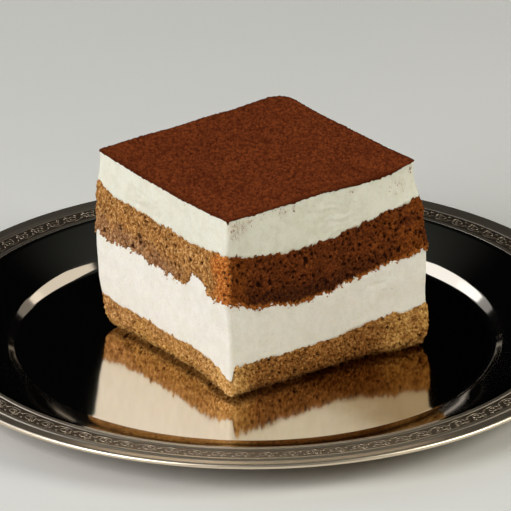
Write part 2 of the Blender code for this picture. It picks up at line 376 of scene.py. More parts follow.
# Lights: place and size in millimetres, aimed at the portion
lights = {
    "key": {"place": (-1280.0, -120.0, 780.0), "size": (900.0, 800.0), "watts": 18.6, "colour": (1.0, 0.995, 0.99)},
    "fill": {"place": (780.0, -1060.0, 800.0), "size": (800.0, 600.0), "watts": 14.0, "colour": (0.99, 0.985, 0.88)},
    "behind": {"place": (-592.0, 948.0, 843.0), "size": (1250.0, 850.0), "watts": 4.5, "colour": (0.87, 0.92, 1.0)},
    "side": {"place": (1100.0, -60.0, 800.0), "size": (700.0, 600.0), "watts": 1.05, "colour": (1.0, 0.96, 0.9)},
    # two faint ones, low down, in which the mirrored bands at the well's wall fade out
    "behindLow": {"place": (-230.0, 1300.0, 560.0), "size": (560.0, 560.0), "watts": 0.3, "colour": (0.87, 0.92, 1.0)},
    "sideLow": {"place": (1300.0, 190.0, 480.0), "size": (600.0, 480.0), "watts": 0.18, "colour": (1.0, 0.96, 0.9)},
}
worldLow = (0.0012, 0.0013, 0.0015, 1.0)  # what the well mirrors
worldHigh = (0.032, 0.036, 0.036, 1.0)  # what the far rim mirrors


def makeLights():
    target = Vector((0.0, 0.0, 25.0))
    for name, values in lights.items():
        light = bpy.data.lights.new(name, "AREA")
        light.shape = "RECTANGLE"
        light.size, light.size_y = (side * mm for side in values["size"])
        light.energy = values["watts"]
        light.color = values["colour"]
        lamp = bpy.data.objects.new(name, light)
        bpy.context.scene.collection.objects.link(lamp)
        lamp.location = Vector(values["place"]) * mm
        lamp.rotation_mode = "QUATERNION"
        lamp.rotation_quaternion = (target - Vector(values["place"])).to_track_quat("-Z", "Y")
    world = bpy.data.worlds.new("studio")
    world.use_nodes = True
    nodes, links = world.node_tree.nodes, world.node_tree.links
    direction = nodes.new("ShaderNodeTexCoord")
    parts = nodes.new("ShaderNodeSeparateXYZ")
    fade = nodes.new("ShaderNodeMapRange")
    fade.interpolation_type = "SMOOTHSTEP"
    fade.inputs["From Min"].default_value = 0.6
    fade.inputs["From Max"].default_value = 0.85
    blend = nodes.new("ShaderNodeMix")
    blend.data_type = "RGBA"
    blend.inputs[6].default_value = worldLow
    blend.inputs[7].default_value = worldHigh
    links.new(direction.outputs["Generated"], parts.inputs[0])
    links.new(parts.outputs["Z"], fade.inputs[0])
    links.new(fade.outputs[0], blend.inputs[0])
    links.new(blend.outputs[2], nodes["Background"].inputs["Color"])
    bpy.context.scene.world = world
    bpy.context.scene.view_settings.view_transform = "Standard"


makeLights()

floorLook = {"size": 6000.0, "colour": srgb(224, 223, 219), "roughness": 0.8}


def makeFloor():
    finish = Finish("paleFloor", Roughness=floorLook["roughness"])
    tone = finish.cloud(90.0, 4.0)
    paler = tuple(min(1.0, value * 1.04) for value in floorLook["colour"][:3]) + (1.0,)
    finish.colour(finish.mix(tone, floorLook["colour"], paler))
    mesh = bpy.data.meshes.new("floor")
    half = floorLook["size"] / 2 * mm
    mesh.from_pydata([(-half, -half, 0), (half, -half, 0), (half, half, 0), (-half, half, 0)], [], [(0, 1, 2, 3)])
    mesh.materials.append(finish.material)
    floor = bpy.data.objects.new("floor", mesh)
    bpy.context.scene.collection.objects.link(floor)


makeFloor()

print("plate")

# Plate: a turned steel sheet, its section given by the same sizes as its solid
plate = {
    "radius": 105.0,
    "sheet": 1.0,
    "wallFoot": (73.2, 1.92),  # radius and height where the well's straight wall meets the floor
    "wallHead": (76.0, 4.6),  # and where it meets the sloping rim
    "wallRound": (0.9, 0.7),
    "dishRadius": 42.0,  # the floor curves up a little outside this
    "rimHeight": 10.1,
    "rimHollow": 0.15,
    "bandInner": 94.0,
    "bandOuter": 99.4,
    "bandOuterHeight": 10.4,
    "beadWidth": 1.6,
    "beadRise": 0.22,
    "lipHeight": 10.8,
    "lipRoll": 1.2,
    "steps": 256,
    "steel": (0.8, 0.7, 0.57, 1.0),
    "tarnish": (0.37, 0.245, 0.11, 1.0),
    "rimTarnish": (0.13, 0.1, 0.065, 1.0),
    "lipSteel": (0.8, 0.68, 0.53, 1.0),
    "bandSteel": (0.26, 0.2, 0.14, 1.0),  # the dull ground between the beads
    "ornamentSteel": (0.58, 0.48, 0.37, 1.0),
    "gloss": 0.07,  # roughness of the polished sheet
    "lipGloss": 0.36,
    "bandGloss": 0.42,
    "streaks": 0.25,  # fine waves of the sheet, as a share of its slow ones
}


def bend(start, corner, end, steps):
    # points of a bend from start to end, pulled towards corner
    points = []
    for step in range(steps + 1):
        share = step / steps
        weights = ((1.0 - share) ** 2, 2.0 * share * (1.0 - share), share * share)
        points.append(tuple(sum(weight * point[axis] for weight, point in zip(weights, (start, corner, end)))
                            for axis in (0, 1)))
    return points


def plateSection():
    sheet = plate["sheet"]
    foot, head = plate["wallFoot"], plate["wallHead"]
    lowRound, highRound = plate["wallRound"]
    section = [(0.0, sheet), (20.0, sheet), (36.0, sheet)]

    def dish(radius):
        outside = (radius - plate["dishRadius"]) / (foot[0] - plate["dishRadius"])
        return (float(radius), sheet + (foot[1] - sheet) * outside * outside)

    section += [dish(radius) for radius in np.linspace(plate["dishRadius"], foot[0] - lowRound, 16)[:-1]]
    slope = math.atan2(head[1] - foot[1], head[0] - foot[0])
    climb = (math.cos(slope), math.sin(slope))
    edge = plate["bandInner"] - plate["beadWidth"] * 1.25
    rimSlope = (plate["rimHeight"] - head[1]) / (edge - head[0]) * (1.0 + plate["rimHollow"])
    onWall = tuple(low + lowRound * step for low, step in zip(foot, climb))
    section += bend(dish(foot[0] - lowRound), foot, onWall, 6)
    onWall = tuple(high - highRound * step for high, step in zip(head, climb))
    onRim = (head[0] + highRound, head[1] + highRound * rimSlope)
    section += bend(onWall, head, onRim, 5)
    for step in range(1, 13):  # the sloping rim
        share = step / 12
        lifted = share * (1.0 + plate["rimHollow"]) - share * share * plate["rimHollow"]
        section.append((onRim[0] + (edge - onRim[0]) * share, onRim[1] + (plate["rimHeight"] - onRim[1]) * lifted))
    beads = (
        (plate["bandInner"] - plate["beadWidth"] / 2, plate["rimHeight"]),
        (plate["bandOuter"] + plate["beadWidth"] / 2, plate["bandOuterHeight"]),
    )
    for number, (radius, height) in enumerate(beads):
        if number:  # the band between the beads
            for share in (0.05, 0.35, 0.65, 0.95):
                across = plate["bandInner"] + (plate["bandOuter"] - plate["bandInner"]) * share
                section.append((across, bandHeight(across)))
        for step in range(9):
            angle = math.pi * step / 8
            section.append((
                radius - plate["beadWidth"] / 2 * math.cos(angle),
                height + plate["beadRise"] * math.sin(angle) ** 1.5,
            ))
    roll = plate["lipRoll"]
    start = section[-1]
    for share in (0.25, 0.5, 0.75):  # the plain lip, slightly hollow
        across = start[0] + (plate["radius"] - roll * 0.6 - start[0]) * share
        section.append((across, start[1] + (plate["lipHeight"] - start[1]) * share ** 1.3))
    for step in range(9):  # the roll at its edge
        angle = math.radians(90.0 - 150.0 * step / 8)
        section.append((
            plate["radius"] - roll * 0.6 + roll * 0.6 * math.cos(angle),
            plate["lipHeight"] - roll * 0.6 + roll * 0.6 * math.sin(angle),
        ))
    section += [
        (plate["bandOuter"], plate["bandOuterHeight"] - sheet),
        (plate["bandInner"] - plate["beadWidth"], plate["rimHeight"] - sheet),
        (head[0] + sheet * 0.9, head[1] - sheet * 0.7),
        (foot[0] + sheet * 0.75, foot[1] - sheet * 0.75),
        (foot[0], sheet * 0.35),
        (foot[0] - sheet * 0.8, 0.0),
        (0.0, 0.0),
    ]
    return section


def bandHeight(radius):
    share = (radius - plate["bandInner"]) / (plate["bandOuter"] - plate["bandInner"])
    return plate["rimHeight"] + (plate["bandOuterHeight"] - plate["rimHeight"]) * share


def steelFinish():
    finish = Finish("polishedSteel", Metallic=1.0)
    radius = finish.node("ShaderNodeVectorMath", {"operation": "LENGTH"}, {0: finish.place(1.0, 1.0, 0.0)}, "Value")
    onBand = finish.between(radius, plate["bandInner"] - 0.2, plate["bandInner"] + 0.3)
    onBand = onBand * (1.0 - finish.between(radius, plate["bandOuter"] - 0.3, plate["bandOuter"] + 0.2))
    onLip = finish.between(radius, plate["bandInner"] - 1.9, plate["bandInner"] - 1.3)
    haze = finish.cloud(38.0, 5.0, 0.6)
    rubs = finish.cloud(5.0, 4.0, 0.7, finish.place(1.0, 1.0, 0.2))
    # the steel has browned in front of the portion, on the floor and more so on the sloping rim
    tone = finish.mix(onLip, plate["steel"], plate["lipSteel"])
    inside = 1.0 - finish.between(radius, 71.0, 73.0)
    browned = finish.between(finish.axis("X") + (haze - 0.5) * 30.0, -26.0, 6.0) * inside
    tone = finish.mix(browned * 0.95, tone, plate["tarnish"])
    sloping = finish.between(radius, 75.0, 76.5) * (1.0 - onLip)
    nearest = finish.between(finish.axis("X") * -0.58 + finish.axis("Y") * -0.81, 20.0, 62.0)
    tone = finish.mix(sloping * nearest * 0.9, tone, plate["rimTarnish"])
    finish.colour(finish.mix(onBand, tone, plate["bandSteel"]))
    wear = plate["gloss"] + haze * rubs * 0.05 + onLip * (plate["lipGloss"] - plate["gloss"])
    finish.roughness(wear + onBand * (plate["bandGloss"] - plate["lipGloss"]))
    finish.bump(finish.cloud(22.0, 2.0) + finish.cloud(2.2, 3.0, 0.6) * plate["streaks"], 0.03, 0.4)
    return finish.material


def ornamentFinish():
    finish = Finish("ornamentSteel", Metallic=1.0, Roughness=0.4)
    wear = finish.cloud(6.0, 4.0, 0.7)
    finish.colour(finish.mix(finish.between(wear, 0.35, 0.65, 0.0, 0.5), plate["ornamentSteel"], plate["bandSteel"]))
    return finish.material


def makePlate(material):
    section = plateSection()
    steps = plate["steps"]
    inner = np.array(section[1:-1])
    angles = np.arange(steps) * 2.0 * math.pi / steps
    rings = np.stack((
        inner[:, None, 0] * np.cos(angles),
        inner[:, None, 0] * np.sin(angles),
        np.repeat(inner[:, None, 1], steps, axis=1),
    ), -1).reshape(-1, 3)
    vertices = np.vstack((rings, ((0.0, 0.0, section[0][1]), (0.0, 0.0, section[-1][1]))))
    faces = ringFaces(len(inner), steps)
    top, under = len(rings), len(rings) + 1
    last = (len(inner) - 1) * steps
    for step in range(steps):
        after = (step + 1) % steps
        faces.append((top, step, after))
        faces.append((under, last + after, last + step))
    piece = makePiece("turnedPlate", vertices, faces, material)
    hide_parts("plate")


def ringFaces(rows, around, first=0, inward=False):
    # quads between rings of vertices that follow each other
    faces = []
    for row in range(rows - 1):
        low = first + row * around
        for step in range(around):
            after = (step + 1) % around
            quad = (low + step, low + around + step, low + around + after, low + after)
            faces.append(quad[::-1] if inward else quad)
    return faces


# Ornament of the band: a row of scrolls, each running out of the one before, with small leaves
ornament = {
    "repeats": 90,
    "middle": 96.7,
    "wire": 0.19,
    "sides": 6,
    "scrollTurns": 1.4,
    "scrollReach": (2.35, 1.65),  # along and across the band
    "scrollEye": 0.15,
    "tail": 3.0,
    "leaves": (  # place, lean and length
        (-2.9, -1.2, 1.7, 1.6),
        (2.3, 0.6, 1.0, 1.2),
        (-2.6, 1.6, -0.5, 1.1),
        (0.9, 1.4, 0.1, 1.2),
    ),
    "rise": 0.45,  # height of a stem, as a share of its width
}


def wirePath(points, radii, sides):
    # a closed tube along points, as vertices and faces
    points = np.asarray(points, float)
    run = np.gradient(points, axis=0)
    run /= np.linalg.norm(run, axis=1, keepdims=True)
    side = np.stack((run[:, 1], -run[:, 0]), -1)
    angles = np.arange(sides) * 2.0 * math.pi / sides
    radii = np.asarray(radii)[:, None, None]
    across = np.cos(angles)[None, :, None] * side[:, None, :] * radii
    tube = np.concatenate((points[:, None, :] + across, np.sin(angles)[None, :, None] * radii), -1)
    vertices = tube.reshape(-1, 3)
    faces = ringFaces(len(points), sides)
    faces.append(tuple(range(sides)))
    faces.append(tuple(range(len(vertices) - 1, len(vertices) - 1 - sides, -1)))
    return vertices, faces


def ornamentWires():
    # one repeat, laid out flat: x runs along the band, y across it
    pitch = 2.0 * math.pi * ornament["middle"] / ornament["repeats"]
    wire = ornament["wire"]
    long, wide = ornament["scrollReach"]
    turns = np.linspace(0.0, ornament["scrollTurns"] * 2.0 * math.pi, 26)
    reach = (1.0 - turns / turns[-1]) ** 0.8 * (1.0 - ornament["scrollEye"]) + ornament["scrollEye"]
    angle = turns - math.pi / 2
    spiral = np.stack((long * reach * np.cos(angle), wide * reach * np.sin(angle)), -1)
    steps = np.linspace(1.0, 0.2, 5)[:, None]
    tail = spiral[0] + np.hstack((-ornament["tail"] * steps, 0.5 * steps * steps))
    wires = [(np.vstack((tail, spiral)), wire * np.concatenate((np.linspace(0.5, 1.0, 5), np.linspace(1.0, 1.2, 26))))]
    steps = np.linspace(0.0, 1.0, 8)
    for along, across, lean, length in ornament["leaves"]:
        bent = lean + 0.9 * steps
        leaf = np.array((along, across)) + length * steps[:, None] * np.stack((np.cos(bent), np.sin(bent)), -1)
        wires.append((leaf, wire * (0.35 + 1.6 * np.sin(np.clip(steps * 1.1, 0, 1) * math.pi) ** 0.8)))
    return wires, pitch


def makeOrnament(material):
    wires, pitch = ornamentWires()
    vertices, faces = [], []
    for repeat in range(ornament["repeats"]):
        for points, radii in wires:
            tube, quads = wirePath(points, radii, ornament["sides"])
            angle = (tube[:, 0] + repeat * pitch) / ornament["middle"]
            radius = ornament["middle"] + tube[:, 1]
            height = bandHeight(radius) + tube[:, 2] * ornament["rise"]
            first = len(vertices)
            vertices.extend(np.stack((radius * np.cos(angle), radius * np.sin(angle), height), -1).tolist())
            faces.extend(tuple(first + number for number in quad) for quad in quads)
    return makePiece("rimOrnament", vertices, faces, material)


makePlate(steelFinish())
makeOrnament(ornamentFinish())

print("sponge")

# Sponge: pores are (spacing, widest radius, depth, share of cells that hold one)
sponge = {
    "middle": {
        "crag": (7.0, 0.8),  # length and depth, as in the solids
        "tear": (1.7, 0.42),
        "grain": (0.65, 0.24),
        "pores": ((5.2, 1.3, 1.4, 0.28), (2.2, 0.85, 1.0, 0.6), (1.2, 0.56, 0.75, 1.0)),
        "warp": (0.9, 0.35),
        "upright": 0.88,  # pores are drawn out upwards
        "proud": 0.45,
        "deep": 1.8,
    },
    "bottom": {
        "crag": (7.0, 0.8),
        "tear": (1.5, 0.6),
        "grain": (0.75, 0.42),
        "pores": ((3.1, 0.85, 0.9, 0.35), (1.5, 0.6, 0.65, 0.85)),
        "warp": (1.0, 0.45),
        "upright": 0.95,
        "proud": 0.5,
        "deep": 1.5,
    },
}


def spongeRelief(spots, values):
    push = np.zeros(len(spots))
    pit = np.zeros(len(spots))
    cragLength, cragDepth = values["crag"]
    tearLength, tearDepth = values["tear"]
    grainLength, grainDepth = values["grain"]
    warpLength, warpReach = values["warp"]
    for number, spot in enumerate(spots):
        spot = Vector(spot)
        warped = spot + noise.noise_vector(spot / warpLength) * warpReach
        warped.z *= values["upright"]
        hollow = 0.0
        for spacing, widest, depth, filled in values["pores"]:
            distances, places = noise.voronoi(warped / spacing)
            chance = 0.5 + 0.5 * noise.cell(places[0] * 17.3)
            if chance < filled:
                radius = widest * (0.45 + 0.55 * chance / filled)
                inside = 1.0 - (distances[0] * spacing / radius) ** 2
                if inside > 0.0:
                    hollow = max(hollow, depth * radius / widest * math.sqrt(inside))
        rise = cragDepth * noise.noise(spot / cragLength)
        rise += tearDepth * noise.noise(spot / tearLength)
        rise += grainDepth * noise.fractal(spot / grainLength, 1.0, 2.0, 3)
        push[number] = max(-values["deep"], min(values["proud"], rise - hollow))
        pit[number] = hollow
    return push, pit


def seamFringe(turns, layer, size, reach):
    # a fine ragged line, so that a seam isn't drawn with a ruler
    angles = turns * math.pi / 2
    spots = np.stack((np.cos(angles), np.sin(angles), angles * 0), -1) * 43.0 / size
    return reach * np.array([noise.fractal(Vector(spot) + Vector((0, 0, layer * 9.0)), 0.8, 2.0, 3) for spot in spots])


def tufts(turns, layer, reach):
    # crumb that hangs over the next layer in small points
    return reach * np.clip(seamFringe(turns, layer + 20, 1.0, 2.0), 0.0, 1.6) ** 1.4


def raggedSeam(seam, turns, layer, reach):
    wide = seamFringe(turns, layer, 1.9, reach * 0.6)
    return seamHeight(seam, turns) + wide + seamFringe(turns, layer + 10, 0.8, reach * 0.5)


def layerSpots(values):
    # the side of a layer as rows of rings, with its outward directions
    perWall, rows = values["perWall"], values["rows"]
    turns = np.arange(4 * perWall) / perWall
    first, second = values["fringe"]
    if values["below"]:
        low = raggedSeam(values["below"], turns, first, values["ragged"][0])
        low = low - values["overlap"][0] - tufts(turns, first, values["tufts"][0])
    else:
        low = np.full(turns.shape, values["overlap"][0] * -1.0)
    high = raggedSeam(values["above"], turns, second, values["ragged"][1])
    high = high + values["overlap"][1] + tufts(turns, second, values["tufts"][1])
    up = np.linspace(0.0, 1.0, rows + 1)[:, None]
    heights = low + (high - low) * up
    plan = wallPlan(turns[None, :], heights)
    return turns, heights, plan, ringNormals(plan), low, high


def capRings(rim, rimHeights, shares, sink):
    # inner rings and middle of a layer's end, drawn in by sink where nothing shows
    rings = []
    for share in shares:
        plan = centre + (rim - centre) * share
        level = rimHeights * share + rimHeights.mean() * (1.0 - share) + sink
        rings.append(np.column_stack((plan, level)))
    rings.append(np.array(((centre[0], centre[1], rimHeights.mean() + sink),)))
    return np.vstack(rings)


def layerMesh(name, values, relief, material):
    turns, heights, plan, out, low, high = layerSpots(values)
    rows, around = heights.shape
    spots = np.concatenate((plan, heights[..., None]), -1).reshape(-1, 3)
    push, mark = relief(spots)
    push = push.reshape(rows, around)
    lower, upper = values["overlap"]
    tuckBelow, tuckAbove = values["tuck"]
    fromBelow = (heights - low) / (lower * 2.0 if values["below"] else 1.5)
    fromAbove = (high - heights) / max(upper * 2.0, 0.01)
    push = push - tuckBelow * (1.0 - smooth(fromBelow)) - tuckAbove * (1.0 - smooth(fromAbove))
    push[0] = np.minimum(push[0], -0.3)
    push[-1] = np.minimum(push[-1], -0.3)
    plan = plan + out * push[..., None]
    side = np.concatenate((plan, heights[..., None] + form["base"]), -1).reshape(-1, 3)
    caps = (0.94, 0.5)
    under = capRings(plan[0], heights[0] + form["base"], caps, 1.5 if values["below"] else 0.0)
    over = capRings(plan[-1], heights[-1] + form["base"], caps, -3.0)
    vertices = np.vstack((side, under, over))
    faces = [quad[::-1] for quad in ringFaces(rows, around)]
    faces += capFaces(range(around), len(side), 2)
    topRim = range((rows - 1) * around, rows * around)
    faces += [face[::-1] for face in capFaces(topRim, len(side) + len(under), 2)]
    hidden = len(under) + len(over)
    rise = np.repeat(np.linspace(0.0, 1.0, rows)[:, None], around, axis=1).ravel()
    traits = {
        "mark": np.concatenate((mark, np.zeros(hidden))),
        "rise": np.concatenate((rise, np.zeros(hidden))),
    }
    return makePiece(name, vertices, faces, material, traits)


def capFaces(rim, first, inner):
    # faces from a rim inwards over inner rings to a middle vertex
    around = len(rim)
    rings = [list(rim)] + [list(range(first + ring * around, first + (ring + 1) * around)) for ring in range(inner)]
    faces = []
    for step in range(around):
        after = (step + 1) % around
        for outside, inside in zip(rings, rings[1:]):
            faces.append((outside[step], inside[step], inside[after], outside[after]))
        faces.append((rings[-1][step], first + inner * around, rings[-1][after]))
    return faces


def spongeFinish(name, tones, share):
    finish = Finish(name, Roughness=0.88, Specular_IOR_Level=0.08)
    pore, rise = finish.trait("mark"), finish.trait("rise")
    east, north = finish.axis("X"), finish.axis("Y")
    upright = finish.place(1.0, 1.0, 0.85)
    blotch = finish.cloud(5.0, 4.0, 0.6)
    crumb = finish.cloud(0.85, 4.0, 0.72, upright)
    cell = finish.cells(1.1, place=upright)

    def crumbed(dark, middle, pale):
        tone = finish.mix(finish.between(crumb, 0.37, 0.5), dark, middle)
        return finish.mix(finish.between(crumb, 0.5, 0.64), tone, pale)

    # coffee has soaked in from the front; the left wall is paler
    soak = finish.between(east + (blotch - 0.5) * 3.0, share["soakFrom"], share["soakTo"])
    tone = finish.mix(soak, crumbed(*tones["dry"]), crumbed(*tones["wet"]))
    tone = finish.mix(1.0, tone, finish.between(blotch, 0.3, 0.7, 0.84, 1.12), "MULTIPLY")
    # the lower part is duller on the left and darker at the front
    low = 1.0 - finish.between(rise + (blotch - 0.5) * 0.6, 0.18, 0.56)
    dull = low * finish.between(north, -14.0, 8.0) * (1.0 - soak) * share["dull"]
    tone = finish.mix(dull, tone, crumbed(*tones["dull"]))
    drenched = low * soak * (1.0 - finish.between(east, 2.0, 30.0) * 0.7) * share["drenched"]
    tone = finish.mix(drenched, tone, crumbed(*tones["drenched"]))
    # paler crumb at the ends of the front wall, and a brighter edge at the near corner, a painted highlight where the
    # key light falls
    rightEnd = finish.between(east, 20.0, 31.0) * finish.between(blotch, 0.36, 0.56)
    ends = 1.0 - finish.between(east, -27.0, -20.0) + rightEnd
    tone = finish.mix(ends * soak * share["ends"], tone, crumbed(*tones["ends"]))
    edge = (east - form["nearCorner"][0]) * 3.5 + (north - form["nearCorner"][1])
    # painted highlight: the crumb is lightened along the near corner
    cornerHighlight = 1.0 - finish.between(edge, share["cornerHighlightFrom"], share["cornerHighlightTo"])
    tone = finish.mix(cornerHighlight * share["cornerHighlight"], tone, crumbed(*tones["cornerHighlight"]))
    fringe = (1.0 - finish.between(rise + (crumb - 0.5) * 0.1, 0.05, 0.12)) * soak
    tone = finish.mix(fringe * share["fringe"], tone, tones["fringe"])
    # darker towards the layer's foot: partly damper crumb, partly a painted contact shadow
    foot = 1.0 - finish.between(rise, 0.08, 0.32)
    tone = finish.mix(foot * share["foot"], tone, tones["foot"])
    # painted shade in the pores: the crumb darkens with pore depth, and in small dots where no pore is cut
    deep = finish.mix(soak, tones["poreShadeDry"], tones["poreShadeWet"])
    tone = finish.mix(finish.between(pore, 0.12, 0.6) * 0.9, tone, deep)
    tone = finish.mix((1.0 - finish.between(cell, 0.1, 0.36)) * share["poreShadeDots"], tone, deep)
    finish.colour(tone)
    finish.bump(crumb + finish.between(cell, 0.05, 0.5) * 0.6, 0.35, 0.8)
    return finish.material


# Tones of crumb are dark, middle and pale
middleTones = {
    "dry": (srgb(124, 78, 35), srgb(172, 119, 62), srgb(224, 174, 112)),
    "wet": (srgb(76, 33, 10), srgb(102, 48, 15), srgb(128, 68, 27)),
    "ends": (srgb(92, 43, 11), srgb(122, 62, 17), srgb(148, 82, 30)),
    # painted highlight at the near corner
    "cornerHighlight": (srgb(140, 64, 20), srgb(192, 106, 40), srgb(230, 152, 74)),
    "dull": (srgb(112, 78, 58), srgb(144, 106, 84), srgb(184, 146, 118)),
    "drenched": (srgb(34, 13, 4), srgb(58, 26, 9), srgb(84, 44, 18)),
    "fringe": srgb(180, 106, 44),
    # partly damper crumb, partly a painted contact shadow at the foot
    "foot": srgb(90, 50, 20),
    # painted shade in the pores
    "poreShadeDry": srgb(56, 28, 10),
    "poreShadeWet": srgb(50, 21, 6),
}
middleShare = {
    "soakFrom": -30.6, "soakTo": -28.4, "dull": 0.5, "drenched": 0.8, "ends": 0.8,
    "cornerHighlight": 0.8, "cornerHighlightFrom": 0.5, "cornerHighlightTo": 5.0, "fringe": 0.8, "foot": 0.0, "poreShadeDots": 0.5,
}
bottomTones = {
    "dry": (srgb(128, 84, 42), srgb(184, 132, 76), srgb(232, 186, 128)),
    "wet": (srgb(98, 56, 20), srgb(150, 98, 46), srgb(190, 140, 82)),
    "ends": (srgb(140, 92, 40), srgb(198, 148, 80), srgb(228, 186, 116)),
    # painted highlight at the near corner
    "cornerHighlight": (srgb(156, 106, 50), srgb(210, 160, 92), srgb(240, 200, 140)),
    "dull": (srgb(96, 60, 32), srgb(136, 94, 56), srgb(176, 130, 84)),
    "drenched": (srgb(80, 44, 15), srgb(116, 72, 30), srgb(150, 104, 54)),
    "fringe": srgb(112, 70, 32),
    # partly damper crumb, partly a painted contact shadow at the foot
    "foot": srgb(50, 27, 9),
    # painted shade in the pores
    "poreShadeDry": srgb(86, 48, 20),
    "poreShadeWet": srgb(56, 27, 8),
}
bottomShare = {
    "soakFrom": -30.8, "soakTo": -28.0, "dull": 0.5, "drenched": 0.6, "ends": 0.9,
    "cornerHighlight": 0.9, "cornerHighlightFrom": 4.0, "cornerHighlightTo": 20.0, "fringe": 0.0, "foot": 0.6, "poreShadeDots": 0.4,
}
golden = spongeFinish("goldenSponge", bottomTones, bottomShare)
soaked = spongeFinish("soakedSponge", middleTones, middleShare)

layers = {
    "bottomSponge": {
        "below": None, "above": "spongeBottomTop", "perWall": 320, "rows": 54, "overlap": (0.27, 0.6),
        "tuck": (1.45, 0.45), "fringe": (0, 1), "ragged": (0.0, 0.6), "tufts": (0.0, 0.35),
    },
    "lowerCream": {
        "below": "spongeBottomTop", "above": "creamBottomTop", "perWall": 180, "rows": 50, "overlap": (0.6, 0.6),
        "tuck": (0.5, 0.5), "fringe": (1, 2), "ragged": (0.6, 1.2), "tufts": (0.0, 0.0),
    },
    "middleSponge": {
        "below": "creamBottomTop", "above": "spongeMiddleTop", "perWall": 300, "rows": 74, "overlap": (0.6, 0.6),
        "tuck": (0.4, 0.4), "fringe": (2, 3), "ragged": (1.2, 0.9), "tufts": (0.7, 0.4),
    },
    "upperCream": {
        "below": "spongeMiddleTop", "above": "creamTopTop", "perWall": 180, "rows": 40, "overlap": (0.6, 0.25),
        "tuck": (0.5, 0.15), "fringe": (3, 4), "ragged": (0.9, 0.0), "tufts": (0.0, 0.0),
    },
}


def bottomRelief(spots):
    return spongeRelief(spots, sponge["bottom"])


def middleRelief(spots):
    return spongeRelief(spots, sponge["middle"])


bottomSponge = layerMesh("bottomSponge", layers["bottomSponge"], bottomRelief, golden)
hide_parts("sponge_bottom")
middleSponge = layerMesh("middleSponge", layers["middleSponge"], middleRelief, soaked)
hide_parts("sponge_middle")

print("cream")

# Cream: a slow wave, drags of the knife, small dents and air bubbles
cream = {
    "wave": (13.0, 0.35),
    "drag": (1.5, 11.0, 0.07),  # width, length and depth
    "smear": (5.5, 0.12),
    "bubble": (3.1, 0.5, 0.2, 0.3),  # spacing, widest radius, depth, share of cells
    "grain": (0.9, 0.04),
    "strokes": (  # where a knife has smeared the cream: middle, reach and depth
        ((8.0, -29.6, 52.5), 12.0, 0.45),
        ((24.0, -29.6, 22.0), 9.0, 0.2),
        ((-30.0, 12.0, 50.0), 12.0, 0.2),
        ((38.4, 5.0, 51.0), 14.0, 0.4),
        ((2.0, 38.4, 52.0), 14.0, 0.4),
    ),
}

# Cocoa carried down by the knife: wall turn, depth under the edge, spreads, number, longest radius
specks = (
    (0.05, 4.0, 0.035, 2.8, 36, 0.2),
    (0.075, 1.8, 0.05, 1.3, 30, 0.2),
    (0.20, 1.2, 0.06, 0.9, 10, 0.18),
    (0.285, 2.0, 0.02, 1.4, 16, 0.2),
    (0.345, 1.8, 0.006, 1.5, 14, 0.2),
    (0.50, 1.6, 0.12, 0.8, 12, 0.16),
    (0.655, 1.4, 0.015, 0.6, 10, 0.24),
    (0.90, 4.5, 0.05, 2.6, 17, 0.2),
    (0.97, 2.0, 0.012, 1.0, 8, 0.26),
    (0.45, 4.0, 0.28, 2.4, 16, 0.13),
    (3.5, 2.5, 0.3, 1.8, 14, 0.13),
    (1.5, 2.5, 0.4, 1.8, 30, 0.16),
    (2.5, 2.5, 0.4, 1.8, 30, 0.16),
)


def smudges(spots):
    # how much cocoa the knife has smeared into the cream, round the densest specks
    smeared = np.zeros(len(spots))
    for turn, depth, turnSpread, depthSpread, count, largest in specks:
        if turnSpread > 0.1:
            continue
        edge = seamHeight("creamTopTop", np.array([turn]))[0]
        middle = wallPlan(turn, edge)
        along = np.linalg.norm(spots[:, :2] - middle, axis=1) / (turnSpread * form["size"][0] + 0.6)
        down = (edge - depth - spots[:, 2]) / (depthSpread + 0.6)
        smeared += np.exp(-(along ** 2) - down ** 2) * min(1.0, count / 30.0)
    return smeared


def creamRelief(spots):
    push = np.zeros(len(spots))
    dragWidth, dragLength, dragDepth = cream["drag"]
    spacing, widest, depth, filled = cream["bubble"]
    for number, spot in enumerate(spots):
        spot = Vector(spot)
        rise = cream["wave"][1] * noise.noise(spot / cream["wave"][0])
        drag = Vector((spot.x / dragWidth, spot.y / dragWidth, spot.z / dragLength))
        rise += dragDepth * noise.noise(drag)
        rise += cream["smear"][1] * noise.ridged_multi_fractal(spot / cream["smear"][0], 1.0, 2.0, 2, 1.0, 1.5) * 0.4
        rise += cream["grain"][1] * noise.noise(spot / cream["grain"][0])
        for middle, reach, strokeDepth in cream["strokes"]:
            away = (spot - Vector(middle)).length / reach
            if away < 1.0:
                bent = spot + noise.noise_vector(spot / 6.0) * 3.5
                stroke = noise.noise(Vector((bent.x / 6.0, bent.y / 6.0, bent.z / 1.7)))
                rise += strokeDepth * stroke * (1.0 - away * away)
        distances, places = noise.voronoi(spot / spacing)
        chance = 0.5 + 0.5 * noise.cell(places[0] * 11.9)
        if chance < filled:
            radius = widest * (0.3 + 0.7 * chance / filled)
            inside = 1.0 - (distances[0] * spacing / radius) ** 2
            if inside > 0.0:
                rise -= depth * math.sqrt(inside)
        push[number] = rise - 0.1
    return push, smudges(spots)


